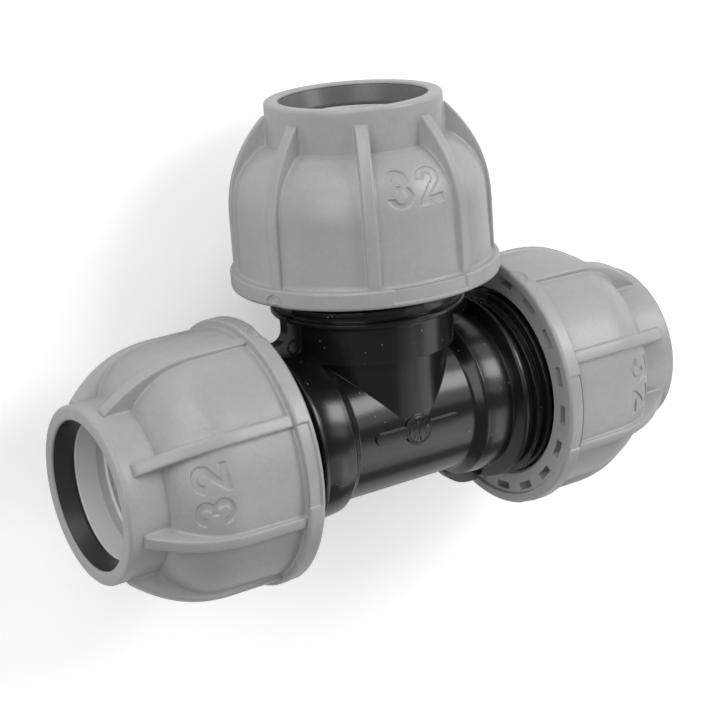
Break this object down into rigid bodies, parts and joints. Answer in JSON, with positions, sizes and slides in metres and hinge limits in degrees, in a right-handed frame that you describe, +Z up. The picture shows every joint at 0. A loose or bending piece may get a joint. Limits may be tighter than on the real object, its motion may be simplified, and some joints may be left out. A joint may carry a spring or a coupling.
{
  "type": "pipe compression tee",
  "caption": "Plastic compression tee that joins pipes in a T: black moulded body, pale grey ribbed union nuts, split white grip rings and rubber seals.",
  "frame": {"origin": "on the floor under the middle of the whole tee, which lies on its back on the rims of its nuts", "axes": "+X along the run towards the right nut, +Y along the branch towards its nut, +Z up"},
  "size_m": [0.1586, 0.1116, 0.0648],
  "materials": {
    "black_moulding": "smooth satin moulding",
    "grey_moulding": "fine satin moulding",
    "black_ring": "smooth",
    "white_ring": "smooth, waxy",
    "seal": "matt rubber"
  },
  "bodies": {
    "body": {"tee_body": "black_moulding", "left_thrust_bush": "black_ring", "left_o_ring": "seal", "right_thrust_bush": "black_ring", "right_o_ring": "seal", "branch_thrust_bush": "black_ring", "branch_o_ring": "seal"},
    "left_ring": {"left_grip_ring": "white_ring"},
    "left_union": {"left_nut": "grey_moulding", "left_mouth_ring": "black_ring"},
    "right_ring": {"right_grip_ring": "white_ring"},
    "right_union": {"right_nut": "grey_moulding", "right_mouth_ring": "black_ring"},
    "branch_ring": {"branch_grip_ring": "white_ring"},
    "branch_union": {"branch_nut": "grey_moulding", "branch_mouth_ring": "black_ring"}
  },
  "joints": [
    {"name": "left_nut_travel", "type": "slide", "parent": "body", "child": "left_ring", "axis": [-1, 0, 0], "range_m": [0, 0.0085]},
    {"name": "left_nut_turn", "type": "hinge", "parent": "left_ring", "child": "left_union", "pos_m": [-0.058, -0.02345, 0.0324], "axis": [-1, 0, 0], "range_deg": [0, 900]},
    {"name": "right_nut_travel", "type": "slide", "parent": "body", "child": "right_ring", "axis": [1, 0, 0], "range_m": [0, 0.0085]},
    {"name": "right_nut_turn", "type": "hinge", "parent": "right_ring", "child": "right_union", "pos_m": [0.058, -0.02345, 0.0324], "axis": [1, 0, 0], "range_deg": [0, 900]},
    {"name": "branch_nut_travel", "type": "slide", "parent": "body", "child": "branch_ring", "axis": [0, 1, 0], "range_m": [0, 0.0085]},
    {"name": "branch_nut_turn", "type": "hinge", "parent": "branch_ring", "child": "branch_union", "pos_m": [0, 0.0343, 0.0324], "axis": [0, 1, 0], "range_deg": [0, 900]}
  ],
  "couplings": [
    {"joint": "left_nut_travel", "follows": "left_nut_turn", "m_per_rad": 0.00054112},
    {"joint": "right_nut_travel", "follows": "right_nut_turn", "m_per_rad": 0.00054112},
    {"joint": "branch_nut_travel", "follows": "branch_nut_turn", "m_per_rad": 0.00054112}
  ]
}
